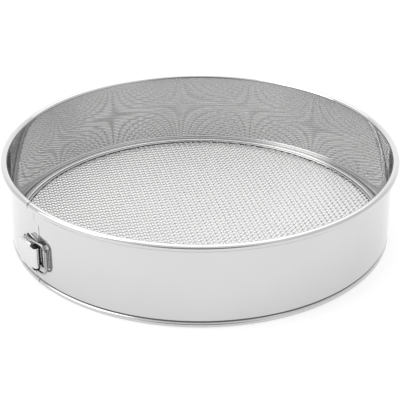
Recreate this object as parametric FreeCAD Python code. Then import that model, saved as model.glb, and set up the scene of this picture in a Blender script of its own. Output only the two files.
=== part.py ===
import FreeCAD, Part

# Drum soil sieve: a split stainless band closed by an over-centre latch, round
# a lift-out wire screen. Millimetres, +Z up, origin on the drum axis at the base.

import os
from math import acos, atan2, cos, degrees, hypot, radians, sin, sqrt

V = FreeCAD.Vector

# ---- drum band ------------------------------------------------------------
DRUM_HEIGHT = 68.4
WALL_INNER_R = 149.0
SHEET = 0.7
WALL_OUTER_R = WALL_INNER_R + SHEET

RIM_WIRE_R = 2.0
RIM_CURL_INNER_R = 2.05
RIM_CURL_OUTER_R = RIM_CURL_INNER_R + SHEET
RIM_CURL_END_DEG = -133.0

FOOT_WIRE_R = 1.4
FOOT_CURL_INNER_R = 1.45
FOOT_CURL_OUTER_R = FOOT_CURL_INNER_R + SHEET
FOOT_CURL_END_DEG = 105.0
FOOT_CENTRE_R = 147.8
FOOT_CENTRE_Z = 2.1

GROOVE_DEPTH = 0.8
GROOVE_TOP_Z = 6.3
GROOVE_BEND_DEG = 60.0

# ---- seam and latch: a is the distance along the wall, h stands out from it ---
LATCH_AZIMUTH = 217.1
LATCH_Z = 26.5
SEAM_GAP = 0.8
SEAM_TOP = (0.0, 51.6)
TONGUE_TOP = (6.0, 50.5)
TONGUE_BOTTOM = (6.4, 13.5)
SEAM_NECK = (-2.3, 11.5)
SEAM_STEP = (-2.3, 8.6)
SEAM_FOOT = (1.5, 5.6)

STRIP_SHEET = 0.5
STRIP_A = (-7.0, 12.0)
STRIP_Z = (9.5, 61.0)
STRIP_CORNER_R = 2.0
FIT_GAP = 0.02

LATCH_SHEET = 0.8
BEND_R = 0.9
BASE_HALF_HEIGHT = 9.4
BASE_A = (-16.0, 4.8)
BASE_CORNER_R = 2.5
EAR_ROOT_A = 1.8
EAR_R = 2.6

PIVOT_A = 6.6
PIVOT_H = 4.2
PIN_R = 1.3
PIN_HEAD_R = 2.1
PIN_HEAD = 0.7
RUNNING_GAP = 0.05

LEVER_HALF_HEIGHT = 10.6
LEVER_OUT_H = 6.5
LEVER_IN_H = 1.7
LEVER_TIP_A = -14.0
LEVER_BEND_A = 3.2
LEVER_FLANGE_A = 4.6
LEVER_CORNER_R = 5.0
KNUCKLE_HALF_HEIGHT = 8.25
KNUCKLE_R = PIN_R + RUNNING_GAP + LATCH_SHEET + RUNNING_GAP

BAIL_WIRE_R = 0.95
BAIL_A = -0.5
BAIL_H = 3.8
BAIL_END_A = 16.0
BAIL_END_H = 2.4
BAIL_HALF_HEIGHT = 11.9
BAIL_TURN_IN = 9.0
BAIL_CORNER_R = 6.0
BAIL_TURN_R = 1.2

KEEPER_A = 10.8
KEEPER_SHEET = 0.9
KEEPER_FOOT = -3.6
KEEPER_RISER = 3.1
KEEPER_TOP_H = 2.8
KEEPER_HALF_HEIGHT = 8.0
KEEPER_CORNER_R = 2.0

RIVET_SHANK_R = 1.2
RIVET_HEAD_R = 2.1
RIVET_HEAD = 0.6
RIVET_TAIL_R = 2.2
RIVET_TAIL = 0.45
RIVET_PLACES = ((-11.0, 5.0), (-11.0, -5.0))

# cutting tools reach this far through the wall, and this far along an axis
WALL_REACH = 8.0
BEND_REACH = 3
AXIS_REACH = 20.0

# ---- screen ---------------------------------------------------------------
SCREEN_Z = 4.5
RING_OUTER_R = 147.6
RING_INNER_R = 142.2
RING_SHEET = 0.6
RING_HEIGHT = 2.7
RING_GROOVE_R = 0.9
RING_GROOVE_DEPTH = 0.3
RING_FOLD_R = 0.3

MESH_PITCH = 3.25
MESH_WIRE_R = 0.36
MESH_LAYER_GAP = 0.02
MESH_COUNT = 88
WARP_DIRECTION = 58.0
WEFT_DIRECTION = WARP_DIRECTION - 90.0
HEM_INNER_R = 144.6
HEM_OUTER_R = 146.6
HEM_THICK = 0.5
WIRE_END_R = 145.8


# ---- drawing helpers ------------------------------------------------------
def polar(centre, radius, angle_deg):
    """Point at an angle on a circle, as a pair."""
    turn = radians(angle_deg)
    return (centre[0] + radius * cos(turn), centre[1] + radius * sin(turn))


def line(start, end, place):
    return Part.LineSegment(place(start), place(end)).toShape()


def arc(centre, radius, start_deg, end_deg, place):
    """Arc from one angle to the other, through the angle halfway between."""
    points = [polar(centre, radius, d) for d in (start_deg, (start_deg + end_deg) / 2, end_deg)]
    return Part.Arc(*[place(p) for p in points]).toShape()


def in_section(point):
    """(radius, z) to the XZ plane, for turning round the drum axis."""
    return V(point[0], 0, point[1])


def in_plan(point):
    """(a, h) to a horizontal plane."""
    return V(point[0], point[1], 0)


def in_elevation(point):
    """(a, z) to the upright plane against the wall."""
    return V(point[0], 0, point[1])


def turned(edges):
    """Solid turned once round the drum axis from a closed section."""
    face = Part.Face(Part.Wire(Part.__sortEdges__(edges)))
    return face.revolve(V(0, 0, 0), V(0, 0, 1), 360)


def polygon(points, place):
    return Part.Face(Part.makePolygon([place(p) for p in points + [points[0]]]))


def rounded_route(points, radii, place):
    """Straight runs through the points, joined by tangent arcs at the inner points."""
    edges = []
    start = points[0]
    for before, corner, after, radius in zip(points, points[1:], points[2:], radii):
        into = (corner[0] - before[0], corner[1] - before[1])
        out = (after[0] - corner[0], after[1] - corner[1])
        into = (into[0] / hypot(*into), into[1] / hypot(*into))
        out = (out[0] / hypot(*out), out[1] / hypot(*out))
        half_turn = acos(into[0] * out[0] + into[1] * out[1]) / 2
        back = radius * sin(half_turn) / cos(half_turn)
        first = (corner[0] - into[0] * back, corner[1] - into[1] * back)
        last = (corner[0] + out[0] * back, corner[1] + out[1] * back)
        inward = (out[0] - into[0], out[1] - into[1])
        depth = radius / cos(half_turn) - radius
        middle = (corner[0] + inward[0] / hypot(*inward) * depth,
                  corner[1] + inward[1] / hypot(*inward) * depth)
        edges.append(line(start, first, place))
        edges.append(Part.Arc(place(first), place(middle), place(last)).toShape())
        start = last
    edges.append(line(start, points[-1], place))
    return edges


def rectangle(left, right, low, high):
    """Face of a plain rectangle in plan."""
    return polygon([(left, low), (right, low), (right, high), (left, high)], in_plan)


def rounded_rectangle(left, right, low, high, radius, place):
    """Face of a rectangle with four round corners."""
    middle = (left + right) / 2
    points = [(middle, low), (right, low), (right, high), (left, high), (left, low), (middle, low)]
    return Part.Face(Part.Wire(rounded_route(points, [radius] * 4, place)))


def bent_sheet(edges, thickness, length):
    """Solid of a bent sheet: a plan route of lines and arcs, given thickness and raised along +Z."""
    half = thickness / 2
    pieces = []
    for edge in edges:
        start = edge.Vertexes[0].Point
        end = edge.Vertexes[-1].Point
        if isinstance(edge.Curve, Part.Line):
            side = (end - start).cross(V(0, 0, 1)).normalize() * half
            corners = [start + side, end + side, end - side, start - side, start + side]
            piece = Part.Face(Part.makePolygon(corners)).extrude(V(0, 0, length))
        else:
            centre = edge.Curve.Center
            wide = Part.makeCylinder(edge.Curve.Radius + half, length, centre)
            wide = wide.cut(Part.makeCylinder(edge.Curve.Radius - half, length, centre))
            wedge = [centre, centre + (start - centre) * BEND_REACH, centre + (end - centre) * BEND_REACH, centre]
            piece = wide.common(Part.Face(Part.makePolygon(wedge)).extrude(V(0, 0, length)))
        pieces.append(piece)
    return pieces[0].multiFuse(pieces[1:]).removeSplitter()


def upright(face, half_height):
    """Solid from a plan face, reaching the same height above and below z = 0."""
    solid = face.extrude(V(0, 0, 2 * half_height))
    solid.translate(V(0, 0, -half_height))
    return solid


def outward(face, low, high):
    """Solid from an elevation face, between two distances out from the wall."""
    solid = face.copy()
    solid.translate(V(0, low, 0))
    return solid.extrude(V(0, high - low, 0))


def one_solid(shape):
    """The single solid of a finished piece."""
    return shape.removeSplitter().Solids[0]


def against_wall(shape, a=0.0):
    """Moves a piece from the latch's frame (a, h, z - LATCH_Z) to its place on the drum."""
    azimuth = LATCH_AZIMUTH + degrees(a / WALL_OUTER_R)
    placed = shape.copy()
    placed.translate(V(0, WALL_OUTER_R, LATCH_Z))
    # a runs anticlockwise seen from above, so (a, h, z) is a mirror image of (x, y, z)
    placed = placed.mirror(V(0, 0, 0), V(1, 0, 0))
    placed.rotate(V(0, 0, 0), V(0, 0, 1), azimuth - 90)
    return placed


def on_latch(a, h):
    """A point at distance a along the wall and h out from it, in the latch's flat frame."""
    turn = a / WALL_OUTER_R
    radius = WALL_OUTER_R + h
    return (radius * sin(turn), radius * cos(turn) - WALL_OUTER_R)


# ---- drum band and its wires ------------------------------------------------
def seam_slot():
    """The thin stepped gap between the band's two ends, through everything in its way."""
    route = [(SEAM_TOP[0], DRUM_HEIGHT + WALL_REACH), SEAM_TOP, TONGUE_TOP, TONGUE_BOTTOM,
             SEAM_NECK, SEAM_STEP, SEAM_FOOT, (SEAM_FOOT[0], -WALL_REACH)]
    half = SEAM_GAP / 2
    cuts = []
    for start, end in zip(route, route[1:]):
        run = hypot(end[0] - start[0], end[1] - start[1])
        along = ((end[0] - start[0]) / run * half, (end[1] - start[1]) / run * half)
        across = (-along[1], along[0])
        corners = [(start[0] - along[0] + across[0], start[1] - along[1] + across[1]),
                   (end[0] + along[0] + across[0], end[1] + along[1] + across[1]),
                   (end[0] + along[0] - across[0], end[1] + along[1] - across[1]),
                   (start[0] - along[0] - across[0], start[1] - along[1] - across[1])]
        corners = [(a, z - LATCH_Z) for a, z in corners]
        cuts.append(outward(polygon(corners, in_elevation), -WALL_REACH, WALL_REACH))
    return against_wall(cuts[0].multiFuse(cuts[1:]))


def drum_band():
    """Wall sheet, rolled out over the rim wire and rolled in round the foot wire."""
    rim = (WALL_OUTER_R + RIM_CURL_INNER_R, DRUM_HEIGHT - RIM_CURL_OUTER_R)
    foot = (FOOT_CENTRE_R, FOOT_CENTRE_Z)
    bend_r = GROOVE_DEPTH / (2 * (1 - cos(radians(GROOVE_BEND_DEG))))
    upper = (WALL_OUTER_R - bend_r, GROOVE_TOP_Z)
    lower = (WALL_OUTER_R - GROOVE_DEPTH + bend_r,
             GROOVE_TOP_Z - 2 * bend_r * sin(radians(GROOVE_BEND_DEG)))
    groove_out = WALL_OUTER_R - GROOVE_DEPTH
    groove_in = groove_out - SHEET
    out_deg = degrees(acos((groove_out - foot[0]) / FOOT_CURL_OUTER_R))
    in_deg = degrees(acos((groove_in - foot[0]) / FOOT_CURL_INNER_R))
    flat_deg = degrees(acos(FOOT_CENTRE_Z / FOOT_CURL_OUTER_R))
    turn = 180 - GROOVE_BEND_DEG
    edges = [
        line((WALL_INNER_R, rim[1]), (WALL_INNER_R, GROOVE_TOP_Z), in_section),
        arc(upper, bend_r - SHEET, 0, -GROOVE_BEND_DEG, in_section),
        arc(lower, bend_r + SHEET, turn, 180, in_section),
        line((groove_in, lower[1]), polar(foot, FOOT_CURL_INNER_R, in_deg), in_section),
        arc(foot, FOOT_CURL_INNER_R, in_deg, FOOT_CURL_END_DEG - 360, in_section),
        line(polar(foot, FOOT_CURL_INNER_R, FOOT_CURL_END_DEG),
             polar(foot, FOOT_CURL_OUTER_R, FOOT_CURL_END_DEG), in_section),
        arc(foot, FOOT_CURL_OUTER_R, FOOT_CURL_END_DEG, 270 - flat_deg, in_section),
        line(polar(foot, FOOT_CURL_OUTER_R, 270 - flat_deg),
             polar(foot, FOOT_CURL_OUTER_R, 270 + flat_deg), in_section),
        arc(foot, FOOT_CURL_OUTER_R, flat_deg - 90, out_deg, in_section),
        line(polar(foot, FOOT_CURL_OUTER_R, out_deg), (groove_out, lower[1]), in_section),
        arc(lower, bend_r, 180, turn, in_section),
        arc(upper, bend_r, -GROOVE_BEND_DEG, 0, in_section),
        line((WALL_OUTER_R, GROOVE_TOP_Z), (WALL_OUTER_R, rim[1]), in_section),
        arc(rim, RIM_CURL_INNER_R, 180, RIM_CURL_END_DEG, in_section),
        line(polar(rim, RIM_CURL_INNER_R, RIM_CURL_END_DEG),
             polar(rim, RIM_CURL_OUTER_R, RIM_CURL_END_DEG), in_section),
        arc(rim, RIM_CURL_OUTER_R, RIM_CURL_END_DEG, 180, in_section),
    ]
    band = turned(edges).cut(seam_slot())
    for a, z in RIVET_PLACES:
        band = band.cut(against_wall(rivet_hole(a, z)))
    return one_solid(band)


def core_wire(centre_r, centre_z, wire_r):
    """Round wire inside a rolled edge, cut where the band is split."""
    wire = Part.makeTorus(centre_r, wire_r, V(0, 0, centre_z))
    return one_solid(wire.cut(seam_slot()))


def rim_wire():
    return core_wire(WALL_OUTER_R + RIM_CURL_INNER_R, DRUM_HEIGHT - RIM_CURL_OUTER_R, RIM_WIRE_R)


def foot_wire():
    return core_wire(FOOT_CENTRE_R, FOOT_CENTRE_Z, FOOT_WIRE_R)


def seam_strip():
    """Guide strip welded inside one end of the band, which the other end slides over."""
    outer_r = WALL_INNER_R - FIT_GAP
    shell = Part.makeCylinder(outer_r, STRIP_Z[1])
    shell = shell.cut(Part.makeCylinder(outer_r - STRIP_SHEET, STRIP_Z[1]))
    outline = rounded_rectangle(STRIP_A[0], STRIP_A[1], STRIP_Z[0] - LATCH_Z, STRIP_Z[1] - LATCH_Z,
                                STRIP_CORNER_R, in_elevation)
    window = against_wall(outward(outline, -WALL_REACH, WALL_REACH))
    return one_solid(shell.common(window))


# ---- latch ------------------------------------------------------------------
def rivet_hole(a, z):
    return Part.makeCylinder(RIVET_SHANK_R + FIT_GAP, 2 * WALL_REACH, V(a, -WALL_REACH, z), V(0, 1, 0))


def pin_hole(a, h, radius):
    """Cutting tool for an upright round hole through both sides of a pressing."""
    return Part.makeCylinder(radius, 2 * AXIS_REACH, V(a, h, -AXIS_REACH))


def channel(inner_h, outer_h, half_height, left, right, opens_out):
    """Bent channel along a: an upright web with a flange turned over at top and bottom."""
    half = LATCH_SHEET / 2
    web_h = inner_h + half if opens_out else outer_h - half
    tip_h = outer_h if opens_out else inner_h
    flange_z = half_height - half
    route = [(tip_h, flange_z), (web_h, flange_z), (web_h, -flange_z), (tip_h, -flange_z)]
    solid = bent_sheet(rounded_route(route, [BEND_R, BEND_R], in_plan), LATCH_SHEET, right - left)
    # the section was drawn with h along X and z along Y, and its length becomes a
    solid.transformShape(FreeCAD.Matrix(0, 0, 1, left, 1, 0, 0, 0, 0, 1, 0, 0, 0, 0, 0, 1))
    return solid


def latch_base():
    """Channel fixed to the band's tongue, its two ears holding the lever pin."""
    ear = [(EAR_ROOT_A, 0.0), (BASE_A[1], 0.0)]
    pivot = (PIVOT_A, PIVOT_H)
    ear_end = PIVOT_A + EAR_R
    blank = channel(FIT_GAP, PIVOT_H + EAR_R, BASE_HALF_HEIGHT, BASE_A[0], ear_end, True)
    towards = []
    for point, side in ((ear[0], -1), (ear[1], 1)):
        reach = hypot(point[0] - pivot[0], point[1] - pivot[1])
        heading = degrees(atan2(point[1] - pivot[1], point[0] - pivot[0]))
        towards.append(polar(pivot, EAR_R, heading + side * degrees(acos(EAR_R / reach))))
    side_view = polygon([ear[0], ear[1], towards[1], pivot, towards[0]], in_plan)
    disc = Part.Face(Part.Wire(Part.makeCircle(EAR_R, in_plan(pivot))))
    plate = polygon([(BASE_A[0], 0), (BASE_A[1], 0), (BASE_A[1], LATCH_SHEET + FIT_GAP),
                     (BASE_A[0], LATCH_SHEET + FIT_GAP)], in_plan)
    outline = upright(side_view.multiFuse([disc, plate]).removeSplitter().Faces[0], BASE_HALF_HEIGHT)
    base = blank.common(outline)
    corners = rounded_rectangle(BASE_A[0], ear_end + BASE_CORNER_R, -BASE_HALF_HEIGHT,
                                BASE_HALF_HEIGHT, BASE_CORNER_R, in_elevation)
    base = base.common(outward(corners, 0, PIVOT_H + EAR_R))
    base = base.cut(pin_hole(PIVOT_A, PIVOT_H, PIN_R + FIT_GAP))
    for a, z in RIVET_PLACES:
        base = base.cut(rivet_hole(a, z))
    return against_wall(one_solid(base))


def base_rivets():
    """Two rivets through the latch base and the wall, flattened inside the drum."""
    rivets = []
    for a, z in RIVET_PLACES:
        face_h = FIT_GAP + LATCH_SHEET
        inside_h = on_latch(a - RIVET_TAIL_R, -SHEET)[1] - FIT_GAP
        shank = Part.makeCylinder(RIVET_SHANK_R, face_h - inside_h, V(a, inside_h, z), V(0, 1, 0))
        cap_r = (RIVET_HEAD_R ** 2 + RIVET_HEAD ** 2) / (2 * RIVET_HEAD)
        ball = Part.makeSphere(cap_r, V(a, face_h + RIVET_HEAD - cap_r, z))
        head = ball.common(Part.makeCylinder(RIVET_HEAD_R, RIVET_HEAD, V(a, face_h, z), V(0, 1, 0)))
        tail = Part.makeCylinder(RIVET_TAIL_R, RIVET_TAIL, V(a, inside_h - RIVET_TAIL, z), V(0, 1, 0))
        rivets.append(against_wall(one_solid(shank.multiFuse([head, tail]))))
    return Part.makeCompound(rivets)


def lever_pin():
    """Plain pin riveted over both ears."""
    half = BASE_HALF_HEIGHT + FIT_GAP
    pin = Part.makeCylinder(PIN_R, 2 * half, V(PIVOT_A, PIVOT_H, -half))
    parts = []
    for side in (-1, 1):
        cone = Part.makeCone(PIN_HEAD_R, PIN_R, PIN_HEAD, V(PIVOT_A, PIVOT_H, side * half),
                             V(0, 0, side))
        parts.append(cone)
    return against_wall(one_solid(pin.multiFuse(parts)))


def latch_lever():
    """Channel-shaped lever; its web runs down to a knuckle that turns on the pin."""
    blank = channel(LEVER_IN_H, LEVER_OUT_H, LEVER_HALF_HEIGHT, LEVER_TIP_A, LEVER_FLANGE_A, False)
    corners = rounded_rectangle(LEVER_TIP_A, LEVER_FLANGE_A + LEVER_CORNER_R, -LEVER_HALF_HEIGHT,
                                LEVER_HALF_HEIGHT, LEVER_CORNER_R, in_elevation)
    blank = blank.common(outward(corners, 0, LEVER_OUT_H))
    # the web stops at the bend, and only the flanges go on to LEVER_FLANGE_A
    spare = rectangle(LEVER_BEND_A, LEVER_FLANGE_A, LEVER_OUT_H - 2 * LATCH_SHEET - BEND_R, LEVER_OUT_H)
    blank = blank.cut(upright(spare, LEVER_HALF_HEIGHT))
    pivot = (PIVOT_A, PIVOT_H)
    bend = (LEVER_BEND_A, LEVER_OUT_H)
    reach = hypot(bend[0] - pivot[0], bend[1] - pivot[1])
    heading = degrees(atan2(bend[1] - pivot[1], bend[0] - pivot[0]))
    touch_deg = heading - degrees(acos(KNUCKLE_R / reach))
    touch = polar(pivot, KNUCKLE_R, touch_deg)
    inner_touch = polar(pivot, KNUCKLE_R - LATCH_SHEET, touch_deg)
    shift = (inner_touch[0] - touch[0], inner_touch[1] - touch[1])
    lap = (bend[0] - LATCH_SHEET, bend[1])
    neck = polygon([bend, touch, inner_touch, (bend[0] + shift[0], bend[1] + shift[1]),
                    (lap[0], lap[1] - LATCH_SHEET), lap], in_plan)
    disc = Part.Face(Part.Wire(Part.makeCircle(KNUCKLE_R, in_plan(pivot))))
    strap = [upright(neck, KNUCKLE_HALF_HEIGHT), upright(disc, KNUCKLE_HALF_HEIGHT)]
    lever = blank.multiFuse(strap)
    lever = lever.cut(pin_hole(PIVOT_A, PIVOT_H, PIN_R + RUNNING_GAP))
    lever = lever.cut(pin_hole(BAIL_A, BAIL_H, BAIL_WIRE_R + RUNNING_GAP))
    return against_wall(one_solid(lever))


def bail():
    """D-shaped wire loop, its two ends turned in through the lever's flanges."""
    end = on_latch(BAIL_END_A, BAIL_END_H)
    reach = hypot(end[0] - BAIL_A, end[1] - BAIL_H)
    ahead = V(end[0] - BAIL_A, end[1] - BAIL_H, 0) * (1 / reach)

    def place(point):
        return V(BAIL_A, BAIL_H, point[1]) + ahead * point[0]

    points = [(0, BAIL_TURN_IN), (0, BAIL_HALF_HEIGHT), (reach, BAIL_HALF_HEIGHT),
              (reach, -BAIL_HALF_HEIGHT), (0, -BAIL_HALF_HEIGHT), (0, -BAIL_TURN_IN)]
    radii = [BAIL_TURN_R, BAIL_CORNER_R, BAIL_CORNER_R, BAIL_TURN_R]
    route = Part.Wire(rounded_route(points, radii, place))
    section = Part.Wire(Part.makeCircle(BAIL_WIRE_R, place(points[0]), V(0, 0, 1)))
    return against_wall(one_solid(route.makePipeShell([section], True, True)))


def keeper():
    """Angle welded to the other end of the band; the bail pulls against its upstand."""
    half = KEEPER_SHEET / 2
    route = [(KEEPER_FOOT, half + FIT_GAP), (KEEPER_RISER, half + FIT_GAP), (KEEPER_RISER, KEEPER_TOP_H)]
    angle = bent_sheet(rounded_route(route, [BEND_R], in_plan), KEEPER_SHEET, 2 * KEEPER_HALF_HEIGHT)
    angle.translate(V(0, 0, -KEEPER_HALF_HEIGHT))
    corners = rounded_rectangle(KEEPER_FOOT, KEEPER_RISER + 2 * KEEPER_CORNER_R, -KEEPER_HALF_HEIGHT,
                                KEEPER_HALF_HEIGHT, KEEPER_CORNER_R, in_elevation)
    return against_wall(one_solid(angle.common(outward(corners, 0, KEEPER_TOP_H))), KEEPER_A)


# ---- screen -----------------------------------------------------------------
def screen_ring():
    """Ring folded over the cut edge of the wire cloth, with a rolled groove on top."""
    low = SCREEN_Z
    high = SCREEN_Z + RING_HEIGHT
    bend = RING_SHEET + RING_FOLD_R
    edge_r = RING_SHEET / 2
    inner = RING_INNER_R + edge_r
    outer = RING_OUTER_R - bend
    face = outer + RING_FOLD_R
    groove = ((RING_INNER_R + RING_OUTER_R) / 2, high + RING_GROOVE_R - RING_GROOVE_DEPTH)
    half_deg = degrees(acos((RING_GROOVE_R - RING_GROOVE_DEPTH) / RING_GROOVE_R))
    groove_start = polar(groove, RING_GROOVE_R, 270 - half_deg)
    groove_end = polar(groove, RING_GROOVE_R, 270 + half_deg)
    return one_solid(turned([
        line((outer, low), (inner, low), in_section),
        arc((inner, low + edge_r), edge_r, 270, 90, in_section),
        line((inner, low + RING_SHEET), (outer, low + RING_SHEET), in_section),
        arc((outer, low + bend), RING_FOLD_R, -90, 0, in_section),
        line((face, low + bend), (face, high - bend), in_section),
        arc((outer, high - bend), RING_FOLD_R, 0, 90, in_section),
        line((outer, high - RING_SHEET), (inner, high - RING_SHEET), in_section),
        arc((inner, high - edge_r), edge_r, 270, 90, in_section),
        line((inner, high), groove_start, in_section),
        arc(groove, RING_GROOVE_R, 270 - half_deg, 270 + half_deg, in_section),
        line(groove_end, (outer, high), in_section),
        arc((outer, high - bend), bend, 90, 0, in_section),
        line((RING_OUTER_R, high - bend), (RING_OUTER_R, low + bend), in_section),
        arc((outer, low + bend), bend, 0, -90, in_section),
    ]))


def wire_layer(direction, side):
    """One direction of the cloth: even parallel wires, joined by the hem inside the ring."""
    z = SCREEN_Z + RING_HEIGHT / 2 + side * (MESH_WIRE_R + MESH_LAYER_GAP / 2)
    hem = Part.makeCylinder(HEM_OUTER_R, HEM_THICK, V(0, 0, z - HEM_THICK / 2))
    hem = hem.cut(Part.makeCylinder(HEM_INNER_R, HEM_THICK, V(0, 0, z - HEM_THICK / 2)))
    wires = []
    for index in range(MESH_COUNT):
        offset = (index - (MESH_COUNT - 1) / 2) * MESH_PITCH
        half = sqrt(WIRE_END_R ** 2 - offset ** 2)
        wires.append(Part.makeCylinder(MESH_WIRE_R, 2 * half, V(-half, offset, z), V(1, 0, 0)))
    layer = hem.multiFuse(wires)
    layer.rotate(V(0, 0, 0), V(0, 0, 1), direction)
    return one_solid(layer)


def warp_wires():
    return wire_layer(WARP_DIRECTION, 1)


def weft_wires():
    return wire_layer(WEFT_DIRECTION, -1)


NODES = {
    "drum_band": drum_band,
    "rim_wire": rim_wire,
    "foot_wire": foot_wire,
    "seam_strip": seam_strip,
    "latch_base": latch_base,
    "base_rivets": base_rivets,
    "lever_pin": lever_pin,
    "latch_lever": latch_lever,
    "bail": bail,
    "keeper": keeper,
    "screen_ring": screen_ring,
    "warp_wires": warp_wires,
    "weft_wires": weft_wires,
}

os.makedirs("parts", exist_ok=True)
for name, make in NODES.items():
    make().exportStep(f"parts/{name}.step")
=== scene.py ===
"""Looks for the drum soil sieve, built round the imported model. Metres, in the model's own frame."""

from math import acos, cos, pi, radians, sin

import bmesh
import bpy
import numpy as np
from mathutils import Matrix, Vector


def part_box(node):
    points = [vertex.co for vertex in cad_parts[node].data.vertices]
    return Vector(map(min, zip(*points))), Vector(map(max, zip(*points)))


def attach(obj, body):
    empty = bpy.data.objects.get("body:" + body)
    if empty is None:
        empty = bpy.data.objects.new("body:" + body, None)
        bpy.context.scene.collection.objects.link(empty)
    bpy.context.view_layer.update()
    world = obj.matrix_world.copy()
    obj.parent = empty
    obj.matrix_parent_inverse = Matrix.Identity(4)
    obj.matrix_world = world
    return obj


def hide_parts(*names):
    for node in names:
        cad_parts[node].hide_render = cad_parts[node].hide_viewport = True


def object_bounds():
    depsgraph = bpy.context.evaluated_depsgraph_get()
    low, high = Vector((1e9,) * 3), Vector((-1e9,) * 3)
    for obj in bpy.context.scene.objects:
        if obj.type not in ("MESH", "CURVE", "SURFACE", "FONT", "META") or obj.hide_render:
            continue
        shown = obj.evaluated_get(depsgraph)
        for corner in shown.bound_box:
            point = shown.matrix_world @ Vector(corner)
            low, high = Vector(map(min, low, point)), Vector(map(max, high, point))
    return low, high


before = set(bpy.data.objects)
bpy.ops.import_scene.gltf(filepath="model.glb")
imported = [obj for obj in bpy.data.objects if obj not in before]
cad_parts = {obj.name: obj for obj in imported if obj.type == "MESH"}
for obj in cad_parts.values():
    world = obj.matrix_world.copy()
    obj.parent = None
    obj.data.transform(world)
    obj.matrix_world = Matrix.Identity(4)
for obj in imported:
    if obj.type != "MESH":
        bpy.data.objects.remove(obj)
CAD_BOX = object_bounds()

MM = 0.001

# ---- the drum: outer sizes from the frame, the rest as it is rolled ----------------------
RIM_R = (CAD_BOX[1][0] - CAD_BOX[0][0]) / 2
HEIGHT = CAD_BOX[1][2]
SHEET = 0.7 * MM
RIM_CURL_R = 2.75 * MM
RIM_CURL_END = radians(-133)
WALL_INNER_R = RIM_R - 2 * RIM_CURL_R
WALL_OUTER_R = WALL_INNER_R + SHEET
GROOVE_DEPTH = 0.8 * MM
GROOVE_TOP_Z = 6.3 * MM
GROOVE_BEND = radians(60)
FOOT_CURL_R = 2.15 * MM
FOOT_CENTRE = (WALL_INNER_R - 1.2 * MM, 2.1 * MM)
FOOT_CURL_END = radians(105)
WALL_ROWS = 12
BAND_COLUMNS = 640

# ---- the seam: its corners by height above the base and distance along the wall ----------
SEAM_AZIMUTH = radians(217.1)
SEAM_GAP = 0.8 * MM
SEAM_HEIGHTS = np.array([0, 5.6, 8.6, 11.5, 13.5, 50.5, 51.6, 70.0]) * MM
SEAM_SHIFTS = np.array([1.5, 1.5, -2.3, -2.3, 6.4, 6.0, 0.0, 0.0]) * MM
# share of the way round over which the columns of the mesh lean from upright to the seam's steps
SEAM_FADE = 0.12

# ---- the screen ring ---------------------------------------------------------------------
RING_SHEET = 0.6 * MM
RING_WIDTH = 5.4 * MM
RING_FOLD_R = 0.3 * MM
RING_GROOVE_R = 0.9 * MM
RING_GROOVE_RISE = 0.6 * MM
RING_COLUMNS = 512

# ---- the wire cloth ----------------------------------------------------------------------
PITCH = 3.25 * MM
WIRE_R = 0.36 * MM
WIRES = 88
CRIMP = 0.37 * MM
WIRE_END_R = 145.8 * MM
WARP_DIRECTION = radians(58)
STEPS_PER_PITCH = 4
WIRE_SIDES = 6
WIRES_PER_PIECE = 22

# ---- the latch pressings -----------------------------------------------------------------
EDGE_ROUND = 0.14 * MM
SAME_POINT = 0.002 * MM

# ---- surfaces ----------------------------------------------------------------------------
GRAIN_DEPTH = 0.02 * MM
# colour and soft edge of the painted shade in the groove above the foot roll and behind the seam
PAINTED_SHADE_COLOUR = (0.1, 0.1, 0.1)
PAINTED_SHADE_FADE = 0.3 * MM

# ---- the studio --------------------------------------------------------------------------
FLOOR_HALF = 3.0
CAMERA_DISTANCE = 6.11 * RIM_R
CAMERA_ELEVATION = radians(27.98)
CAMERA_TARGET = Vector((0, 0, 0.14 * RIM_R))
CAMERA_LENS = 106.3


# ---- mesh helpers ------------------------------------------------------------------------
def arc(centre, radius, start, end, steps):
    """Points (radius, z) round part of a circle in a section, both ends included."""
    angles = np.linspace(start, end, steps + 1)
    return [(centre[0] + radius * cos(t), centre[1] + radius * sin(t)) for t in angles]


def wall_rows(radius, top):
    """Points down the straight part of the wall, with one at each bend of the seam."""
    heights = list(np.linspace(GROOVE_TOP_Z, top, WALL_ROWS))
    heights += [h for h in SEAM_HEIGHTS if GROOVE_TOP_Z < h < top]
    return [(radius, z) for z in sorted(heights, reverse=True)]


def new_mesh(name, vertices, faces, smooth_deg):
    """An object whose faces are shaded smooth across edges that turn less than smooth_deg degrees."""
    mesh = bpy.data.meshes.new(name)
    mesh.from_pydata(vertices, [], faces)
    mesh.update()
    obj = bpy.data.objects.new(name, mesh)
    bpy.context.scene.collection.objects.link(obj)
    mesh.shade_smooth()
    mesh.set_sharp_from_angle(angle=radians(smooth_deg))
    return obj


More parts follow.
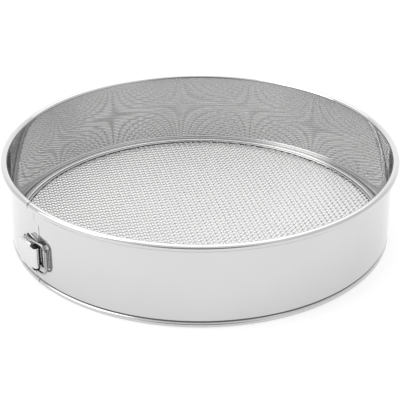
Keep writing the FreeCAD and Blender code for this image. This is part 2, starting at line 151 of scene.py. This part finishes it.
# ---- the band ----------------------------------------------------------------------------
def band_section():
    """Closed section of the rolled wall as (radius, z), inside face first."""
    rim = (RIM_R - RIM_CURL_R, HEIGHT - RIM_CURL_R)
    rim_in = RIM_CURL_R - SHEET
    foot_in = FOOT_CURL_R - SHEET
    # the groove: the wall bends in, then back to upright, before it meets the foot roll
    bend = GROOVE_DEPTH / (2 * (1 - cos(GROOVE_BEND)))
    upper = (WALL_OUTER_R - bend, GROOVE_TOP_Z)
    lower = (WALL_OUTER_R - GROOVE_DEPTH + bend, GROOVE_TOP_Z - 2 * bend * sin(GROOVE_BEND))
    groove_out = WALL_OUTER_R - GROOVE_DEPTH
    groove_in = groove_out - SHEET
    # the foot roll: where the groove's two faces meet it, and half the angle of its flat underside
    out_t = acos((groove_out - FOOT_CENTRE[0]) / FOOT_CURL_R)
    in_t = acos((groove_in - FOOT_CENTRE[0]) / foot_in)
    flat_t = acos(FOOT_CENTRE[1] / FOOT_CURL_R)
    section = wall_rows(WALL_INNER_R, rim[1])[:-1]
    section += arc(upper, bend - SHEET, 0, -GROOVE_BEND, 2)
    section += arc(lower, bend + SHEET, pi - GROOVE_BEND, pi, 5)[1:]
    section += arc(FOOT_CENTRE, foot_in, in_t, FOOT_CURL_END - 2 * pi, 18)
    section += arc(FOOT_CENTRE, FOOT_CURL_R, FOOT_CURL_END, 1.5 * pi - flat_t, 14)
    section += arc(FOOT_CENTRE, FOOT_CURL_R, flat_t - pi / 2, out_t, 12)
    section += arc(lower, bend, pi, pi - GROOVE_BEND, 5)
    section += arc(upper, bend, -GROOVE_BEND, 0, 5)[1:]
    section += wall_rows(WALL_OUTER_R, rim[1])[::-1][1:-1]
    section += arc(rim, rim_in, pi, RIM_CURL_END, 18)
    section += arc(rim, RIM_CURL_R, RIM_CURL_END, pi, 28)[:-1]
    return np.array(section)


def split_band():
    """The whole band: its section swept round from one side of the stepped seam to the other."""
    section = band_section()
    count = len(section)
    share = np.linspace(0, 1, BAND_COLUMNS + 1)
    shift = np.interp(section[:, 1], SEAM_HEIGHTS, SEAM_SHIFTS) / WALL_OUTER_R
    gap = SEAM_GAP / WALL_OUTER_R
    near_start = np.clip(1 - share / SEAM_FADE, 0, 1)
    near_end = np.clip(1 - (1 - share) / SEAM_FADE, 0, 1)
    ease = near_start ** 2 * (3 - 2 * near_start) + near_end ** 2 * (3 - 2 * near_end)
    angle = SEAM_AZIMUTH + gap / 2 + share[:, None] * (2 * pi - gap) + ease[:, None] * shift[None, :]
    radius = np.broadcast_to(section[:, 0], angle.shape)
    z = np.broadcast_to(section[:, 1], angle.shape)
    points = np.stack([radius * np.cos(angle), radius * np.sin(angle), z], axis=-1)
    faces = []
    for column in range(BAND_COLUMNS):
        base = column * count
        for k in range(count):
            after = (k + 1) % count
            faces.append((base + k, base + after, base + count + after, base + count + k))
    faces.append(tuple(range(count - 1, -1, -1)))
    last = BAND_COLUMNS * count
    faces.append(tuple(range(last, last + count)))
    return new_mesh("rolled_band", points.reshape(-1, 3).tolist(), faces, 50)


# ---- the screen --------------------------------------------------------------------------
def ring_section(low, high, inner, outer):
    """Folded ring: a channel open to the inside, with a rolled groove along its top."""
    edge = RING_SHEET / 2
    bend = RING_SHEET + RING_FOLD_R
    groove = ((inner + outer) / 2, high + RING_GROOVE_RISE)
    half = acos(RING_GROOVE_RISE / RING_GROOVE_R)
    section = arc((inner + edge, low + edge), edge, 1.5 * pi, pi / 2, 8)
    section += arc((outer - bend, low + bend), RING_FOLD_R, -pi / 2, 0, 4)
    section += arc((outer - bend, high - bend), RING_FOLD_R, 0, pi / 2, 4)
    section += arc((inner + edge, high - edge), edge, 1.5 * pi, pi / 2, 8)
    section += arc(groove, RING_GROOVE_R, 1.5 * pi - half, 1.5 * pi + half, 10)
    section += arc((outer - bend, high - bend), bend, pi / 2, 0, 8)
    section += arc((outer - bend, low + bend), bend, 0, -pi / 2, 8)
    return section


def folded_ring():
    """The screen's ring: its section turned round the drum's axis."""
    low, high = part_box("screen_ring")
    section = ring_section(low.z, high.z, high.x - RING_WIDTH, high.x)
    count = len(section)
    vertices = []
    faces = []
    for column in range(RING_COLUMNS):
        angle = 2 * pi * column / RING_COLUMNS
        vertices += [(r * cos(angle), r * sin(angle), z) for r, z in section]
        here = column * count
        there = (column + 1) % RING_COLUMNS * count
        for k in range(count):
            after = (k + 1) % count
            faces.append((here + after, here + k, there + k, there + after))
    return new_mesh("folded_ring", vertices, faces, 50)


def crimped_wire(index, side, mid_z):
    """Vertices and faces of one wire, running along X before the cloth is turned."""
    offset = (index - (WIRES - 1) / 2) * PITCH
    half = (WIRE_END_R ** 2 - offset ** 2) ** 0.5
    steps = int(round(2 * half / PITCH * STEPS_PER_PITCH))
    x = np.linspace(-half, half, steps + 1)
    phase = pi * (x / PITCH + (WIRES - 1) / 2 + index)
    z = mid_z + side * CRIMP * np.cos(phase)
    slope = np.arctan(-side * CRIMP * pi / PITCH * np.sin(phase))
    turn = 2 * pi * np.arange(WIRE_SIDES) / WIRE_SIDES
    across = WIRE_R * np.cos(turn)[None, :]
    rise = WIRE_R * np.sin(turn)[None, :]
    px = x[:, None] - np.sin(slope)[:, None] * rise
    py = offset + across + np.zeros_like(px)
    pz = z[:, None] + np.cos(slope)[:, None] * rise
    points = np.stack([px, py, pz], axis=-1).reshape(-1, 3)
    ring = np.arange(WIRE_SIDES)
    after = (ring + 1) % WIRE_SIDES
    base = np.arange(steps)[:, None] * WIRE_SIDES
    quads = np.stack([base + ring, base + after, base + WIRE_SIDES + after, base + WIRE_SIDES + ring],
                     axis=-1).reshape(-1, 4)
    last = steps * WIRE_SIDES
    caps = [tuple(range(WIRE_SIDES - 1, -1, -1)), tuple(range(last, last + WIRE_SIDES))]
    return points, quads, caps


def wire_group(name, first, side, direction, mid_z):
    """One object holding a run of neighbouring wires."""
    points = []
    faces = []
    start = 0
    c, s = cos(direction), sin(direction)
    for index in range(first, first + WIRES_PER_PIECE):
        p, quads, caps = crimped_wire(index, side, mid_z)
        points.append(np.stack([p[:, 0] * c - p[:, 1] * s, p[:, 0] * s + p[:, 1] * c, p[:, 2]], axis=-1))
        faces += (quads + start).tolist()
        faces += [tuple(v + start for v in cap) for cap in caps]
        start += len(p)
    return new_mesh(name, np.concatenate(points).tolist(), faces, 60)


def wire_cloth():
    """Plain weave: every wire goes over one and under the next."""
    low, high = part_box("screen_ring")
    mid_z = (low.z + high.z) / 2
    pieces = {}
    for node, side, direction in (("warp_wires", 1, WARP_DIRECTION),
                                  ("weft_wires", -1, WARP_DIRECTION - pi / 2)):
        pieces[node] = [wire_group(f"woven_{node}_{k + 1}", k * WIRES_PER_PIECE, side, direction, mid_z)
                        for k in range(WIRES // WIRES_PER_PIECE)]
    return pieces


# ---- the latch pressings, softened -------------------------------------------------------
def softened(node, name):
    """A copy of a pressed part with its sheared edges rounded over."""
    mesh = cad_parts[node].data.copy()
    mesh.name = name
    obj = bpy.data.objects.new(name, mesh)
    bpy.context.scene.collection.objects.link(obj)
    bm = bmesh.new()
    bm.from_mesh(mesh)
    bmesh.ops.remove_doubles(bm, verts=bm.verts, dist=SAME_POINT)
    bmesh.ops.dissolve_limit(bm, angle_limit=radians(1), verts=bm.verts, edges=bm.edges)
    sharp = [e for e in bm.edges if len(e.link_faces) == 2 and e.calc_face_angle() > radians(35)]
    bmesh.ops.bevel(bm, geom=sharp, offset=EDGE_ROUND, segments=2, profile=0.6, affect="EDGES",
                    clamp_overlap=True)
    bm.to_mesh(mesh)
    bm.free()
    mesh.shade_smooth()
    mesh.set_sharp_from_angle(angle=radians(50))
    return obj


# ---- materials ---------------------------------------------------------------------------
def node_tree(name):
    """A new material with the parts of it that the functions below work on."""
    material = bpy.data.materials.new(name)
    material.use_nodes = True
    nodes = material.node_tree.nodes
    return material, nodes, material.node_tree.links, nodes["Principled BSDF"]


def mapped_noise(nodes, links, source, scale, noise_scale, detail):
    """Noise on the object's own coordinates, stretched by a different scale on each axis."""
    mapping = nodes.new("ShaderNodeMapping")
    mapping.inputs["Scale"].default_value = scale
    noise = nodes.new("ShaderNodeTexNoise")
    noise.inputs["Scale"].default_value = noise_scale
    noise.inputs["Detail"].default_value = detail
    links.new(source, mapping.inputs["Vector"])
    links.new(mapping.outputs["Vector"], noise.inputs["Vector"])
    return noise.outputs["Fac"]


def ranged(nodes, links, source, low, high, from_low=0.3, from_high=0.7):
    """A value spread from low to high, and held there, as the source goes between its own two limits."""
    node = nodes.new("ShaderNodeMapRange")
    node.inputs["From Min"].default_value = from_low
    node.inputs["From Max"].default_value = from_high
    node.inputs["To Min"].default_value = low
    node.inputs["To Max"].default_value = high
    links.new(source, node.inputs["Value"])
    return node.outputs["Result"]


def blended(nodes, links, factor, first, second):
    """A colour drifting between two as the factor goes from 0 to 1."""
    mix = nodes.new("ShaderNodeMix")
    mix.data_type = "RGBA"
    mix.inputs["A"].default_value = (*first, 1)
    mix.inputs["B"].default_value = (*second, 1)
    links.new(factor, mix.inputs["Factor"])
    return mix.outputs["Result"]


def around_axis(nodes, links, source):
    """Coordinates (angle round the drum, 0, height), so that grain can follow the wall."""
    split = nodes.new("ShaderNodeSeparateXYZ")
    links.new(source, split.inputs["Vector"])
    angle = nodes.new("ShaderNodeMath")
    angle.operation = "ARCTAN2"
    links.new(split.outputs["Y"], angle.inputs[0])
    links.new(split.outputs["X"], angle.inputs[1])
    join = nodes.new("ShaderNodeCombineXYZ")
    links.new(angle.outputs["Value"], join.inputs["X"])
    links.new(split.outputs["Z"], join.inputs["Z"])
    return join.outputs["Vector"]


def with_painted_shade(nodes, links, source, colour, from_r, low_z, high_z):
    """A colour darkened by painted shade outside a radius and between two heights."""
    split = nodes.new("ShaderNodeSeparateXYZ")
    links.new(source, split.inputs["Vector"])
    flat = nodes.new("ShaderNodeCombineXYZ")
    links.new(split.outputs["X"], flat.inputs["X"])
    links.new(split.outputs["Y"], flat.inputs["Y"])
    length = nodes.new("ShaderNodeVectorMath")
    length.operation = "LENGTH"
    links.new(flat.outputs["Vector"], length.inputs[0])
    mask = ranged(nodes, links, length.outputs["Value"], 0, 1, from_r - 0.1 * MM, from_r)
    height = split.outputs["Z"]
    for factor in (ranged(nodes, links, height, 0, 1, low_z - PAINTED_SHADE_FADE, low_z + PAINTED_SHADE_FADE),
                   ranged(nodes, links, height, 1, 0, high_z - PAINTED_SHADE_FADE, high_z + PAINTED_SHADE_FADE)):
        product = nodes.new("ShaderNodeMath")
        product.operation = "MULTIPLY"
        links.new(mask, product.inputs[0])
        links.new(factor, product.inputs[1])
        mask = product.outputs["Value"]
    mix = nodes.new("ShaderNodeMix")
    mix.data_type = "RGBA"
    mix.inputs["B"].default_value = (*PAINTED_SHADE_COLOUR, 1)
    links.new(mask, mix.inputs["Factor"])
    links.new(colour, mix.inputs["A"])
    return mix.outputs["Result"]


def steel(name, dark, light, rough, grain, grain_strength, round_axis=False, painted_shade=None, metallic=1.0):
    """Steel: colour and roughness drift a little, with fine polishing grain in the bump.

    grain is how finely the grain changes along each axis, or round and up the drum with round_axis.
    The painted-shade argument is the radius outside which, and the two heights between which, the steel
    is darkened with painted shade.
    """
    material, nodes, links, shader = node_tree(name)
    shader.inputs["Metallic"].default_value = metallic
    source = nodes.new("ShaderNodeTexCoord").outputs["Object"]
    drift = mapped_noise(nodes, links, source, (1, 1, 1), 22, 3)
    colour = blended(nodes, links, drift, dark, light)
    if painted_shade is not None:
        # painted shade: the colour is darkened where shade would fall
        colour = with_painted_shade(nodes, links, source, colour, *painted_shade)
    links.new(colour, shader.inputs["Base Color"])
    along = around_axis(nodes, links, source) if round_axis else source
    scratches = mapped_noise(nodes, links, along, grain, 1, 4)
    links.new(ranged(nodes, links, scratches, rough[0], rough[1]), shader.inputs["Roughness"])
    bump = nodes.new("ShaderNodeBump")
    bump.inputs["Strength"].default_value = grain_strength
    bump.inputs["Distance"].default_value = GRAIN_DEPTH
    links.new(scratches, bump.inputs["Height"])
    links.new(bump.outputs["Normal"], shader.inputs["Normal"])
    return material


def pale_floor():
    """A matt sweep that gives off light of its own, so that it stays white under the drum."""
    material, nodes, links, shader = node_tree("pale_sweep")
    source = nodes.new("ShaderNodeTexCoord").outputs["Object"]
    drift = mapped_noise(nodes, links, source, (1, 1, 1), 3, 2)
    links.new(blended(nodes, links, drift, (0.42, 0.42, 0.42), (0.44, 0.44, 0.44)),
              shader.inputs["Base Color"])
    shader.inputs["Emission Color"].default_value = (1, 1, 1, 1)
    shader.inputs["Emission Strength"].default_value = 0.62
    shader.inputs["Roughness"].default_value = 0.9
    shader.inputs["Specular IOR Level"].default_value = 0.1
    return material


def dress(obj, material):
    """One material all over an object made here."""
    obj.data.materials.clear()
    obj.data.materials.append(material)


def dress_cad(node, material):
    """One material in every slot of a packed object that is shown as it is."""
    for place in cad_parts[node].material_slots:
        place.material = material


# ---- the set -----------------------------------------------------------------------------
def area_light(name, place, target, size, power):
    """A rectangular light of a size in metres and a power in watts, turned to face the target."""
    data = bpy.data.lights.new(name, "AREA")
    data.shape = "RECTANGLE"
    data.size, data.size_y = size
    data.energy = power
    obj = bpy.data.objects.new(name, data)
    bpy.context.scene.collection.objects.link(obj)
    obj.location = place
    obj.rotation_euler = (Vector(target) - Vector(place)).to_track_quat("-Z", "Y").to_euler()


def studio():
    """White surroundings, brightest behind, with a dark opening straight ahead, and two soft lights."""
    world = bpy.data.worlds.new("studio")
    bpy.context.scene.world = world
    world.use_nodes = True
    nodes = world.node_tree.nodes
    links = world.node_tree.links
    background = nodes["Background"]
    background.inputs["Color"].default_value = (1, 1, 1, 1)
    split = nodes.new("ShaderNodeSeparateXYZ")
    links.new(nodes.new("ShaderNodeTexCoord").outputs["Generated"], split.inputs["Vector"])
    # Y is -1 straight ahead of the drum and 1 straight behind it
    total = nodes.new("ShaderNodeMath")
    total.operation = "ADD"
    links.new(ranged(nodes, links, split.outputs["Y"], 0.1, 0.87, -0.945, -0.76), total.inputs[0])
    links.new(ranged(nodes, links, split.outputs["Y"], 0.0, 0.4, 0.5, 0.85), total.inputs[1])
    links.new(total.outputs["Value"], background.inputs["Strength"])
    centre = (0, 0, HEIGHT / 2)
    area_light("key_left", (-1.1, -0.3, 0.9), centre, (1.0, 1.0), 7)
    area_light("top_soft", (0.0, 0.3, 1.4), centre, (2.0, 2.0), 12)
    bpy.context.scene.view_settings.view_transform = "Standard"


def floor():
    corners = [(x * FLOOR_HALF, y * FLOOR_HALF, 0) for x, y in ((-1, -1), (1, -1), (1, 1), (-1, 1))]
    obj = new_mesh("floor", corners, [(0, 1, 2, 3)], 40)
    dress(obj, pale_floor())


def camera():
    """The view from the front, 28 degrees above the horizon, with the drum filling the frame's width."""
    data = bpy.data.cameras.new("camera")
    data.sensor_width = 36
    data.lens = CAMERA_LENS
    data.clip_end = 20
    obj = bpy.data.objects.new("camera", data)
    bpy.context.scene.collection.objects.link(obj)
    towards = Vector((0, -cos(CAMERA_ELEVATION), sin(CAMERA_ELEVATION)))
    obj.location = CAMERA_TARGET + CAMERA_DISTANCE * towards
    obj.rotation_euler = (pi / 2 - CAMERA_ELEVATION, 0, 0)
    bpy.context.scene.camera = obj


# ---- the steels --------------------------------------------------------------------------
# the sheet has a slight haze, and painted shade in the groove above the foot roll
POLISHED = steel("polished_sheet", (0.58, 0.58, 0.58), (0.62, 0.62, 0.617), (0.03, 0.07),
                 (6, 1, 2600), 0.03, round_axis=True, metallic=0.88,
                 painted_shade=(WALL_OUTER_R - GROOVE_DEPTH, 4.0 * MM, GROOVE_TOP_Z - 0.9 * MM))
RING_STEEL = steel("ring_steel", (0.64, 0.64, 0.64), (0.70, 0.70, 0.695), (0.08, 0.16),
                   (6, 1, 3000), 0.15, round_axis=True)
LATCH_STEEL = steel("latch_steel", (0.64, 0.64, 0.64), (0.72, 0.72, 0.715), (0.16, 0.28),
                    (400, 400, 2400), 0.3)
BLACK_STEEL = steel("bracket_black", (0.015, 0.015, 0.015), (0.03, 0.03, 0.03), (0.3, 0.45),
                    (500, 500, 900), 0.3)
BAIL_WIRE = steel("bail_wire", (0.34, 0.34, 0.34), (0.42, 0.42, 0.417), (0.16, 0.3),
                  (600, 600, 600), 0.3)
# the strip's outer face, which shows through the seam, is darkened with painted shade
STRIP_STEEL = steel("strip_steel", (0.52, 0.52, 0.52), (0.58, 0.58, 0.577), (0.1, 0.2),
                    (6, 1, 2600), 0.05, round_axis=True, painted_shade=(WALL_INNER_R - 0.3 * MM, 0, HEIGHT))
CORE_WIRE = steel("core_wire", (0.45, 0.45, 0.45), (0.5, 0.5, 0.5), (0.25, 0.4),
                  (500, 500, 500), 0.3)
CLOTH_WIRE = steel("cloth_wire", (0.42, 0.42, 0.418), (0.49, 0.49, 0.486), (0.16, 0.3),
                   (900, 900, 900), 0.2)

# ---- the object --------------------------------------------------------------------------
band = split_band()
dress(band, POLISHED)
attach(band, "drum")
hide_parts("drum_band")

ring = folded_ring()
dress(ring, RING_STEEL)
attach(ring, "screen")
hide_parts("screen_ring")

for node, pieces in wire_cloth().items():
    for piece in pieces:
        dress(piece, CLOTH_WIRE)
        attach(piece, "screen")
        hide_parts(node)

for node, name, body, material, slot in (
        ("latch_lever", "soft_lever", "lever", LATCH_STEEL, "latch_steel"),
        ("latch_base", "soft_base", "drum", BLACK_STEEL, "bracket_black"),
        ("keeper", "soft_keeper", "drum", LATCH_STEEL, "latch_steel")):
    pressing = softened(node, name)
    dress(pressing, material)
    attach(pressing, body)
    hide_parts(node)

for node, material in (("seam_strip", STRIP_STEEL), ("lever_pin", BLACK_STEEL),
                       ("base_rivets", BLACK_STEEL), ("bail", BAIL_WIRE),
                       ("rim_wire", CORE_WIRE), ("foot_wire", CORE_WIRE)):
    dress_cad(node, material)

floor()
studio()
camera()
